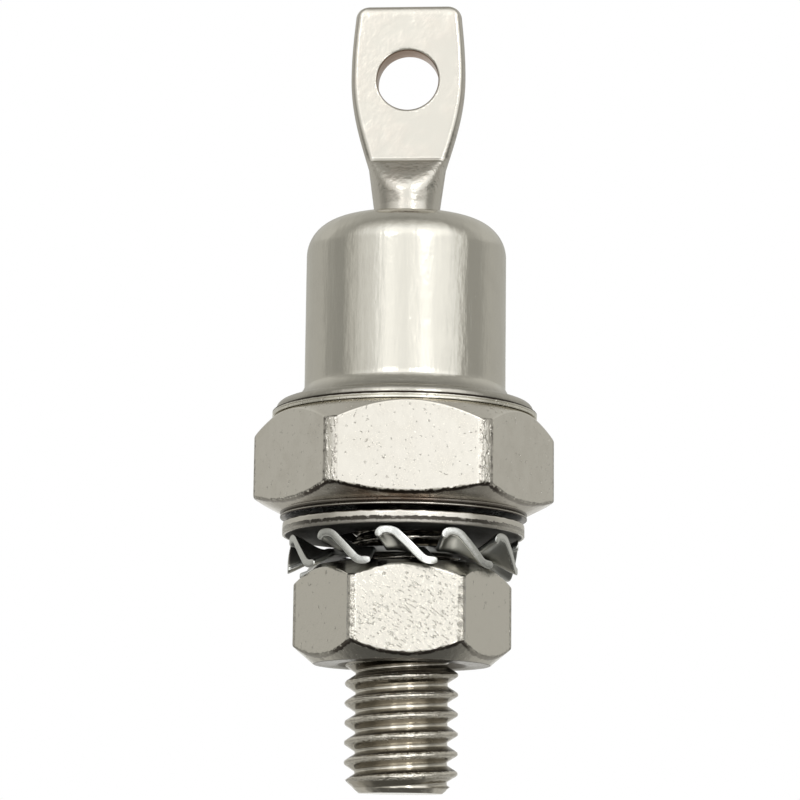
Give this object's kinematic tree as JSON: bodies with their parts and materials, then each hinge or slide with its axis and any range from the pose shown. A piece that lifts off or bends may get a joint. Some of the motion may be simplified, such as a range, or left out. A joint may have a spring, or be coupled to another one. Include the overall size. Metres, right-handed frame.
{
  "type": "stud diode",
  "caption": "Stud-mount power rectifier diode with a hex base, welded metal cap, flattened lug terminal, lock washer, flat washer and nut on its threaded stud.",
  "frame": {"origin": "centre of the seat under the hexagon, on the stud's axis", "axes": "+Z along the axis from the stud up to the terminal; the lug's flats face -Y and +Y"},
  "size_m": [0.0124, 0.0116, 0.0332],
  "materials": {
    "nickel_base": "nickel-plated copper, turned",
    "nickel_ring": "nickel-plated steel, turned",
    "nickel_cap": "nickel-plated drawn steel, satin",
    "seal_glass": "fused glass",
    "tinned_terminal": "tinned copper, pressed",
    "copper": "bare copper",
    "solder": "hard solder",
    "molybdenum": "ground molybdenum",
    "silicon": "polished silicon",
    "silicone": "silicone rubber",
    "washer_plate": "nickel-plated stamped steel",
    "lock_steel": "blackened spring steel",
    "nut_plate": "nickel-plated steel"
  },
  "bodies": {
    "diode": {"base_stud": "nickel_base", "weld_ring": "nickel_ring", "cap": "nickel_cap", "glass_seal": "seal_glass", "terminal": "tinned_terminal", "inner_lead": "copper", "lead_solder": "solder", "upper_disc": "molybdenum", "upper_solder": "solder", "die": "silicon", "die_solder": "solder", "lower_disc": "molybdenum", "base_solder": "solder", "junction_coating": "silicone"},
    "washers": {"flat_washer": "washer_plate", "lock_washer": "lock_steel"},
    "nut": {"hex_nut": "nut_plate"}
  },
  "joints": [
    {"name": "washer_travel", "type": "slide", "parent": "diode", "child": "washers", "axis": [0, 0, -1], "range_m": [-0.00015, 0.0048]},
    {"name": "nut_turn", "type": "hinge", "parent": "washers", "child": "nut", "pos_m": [0, 0, -0.004], "axis": [0, 0, -1], "range_deg": [-120, 2190]}
  ],
  "couplings": [
    {"joint": "nut_turn", "follows": "washer_travel", "rad_per_m": 7854}
  ]
}
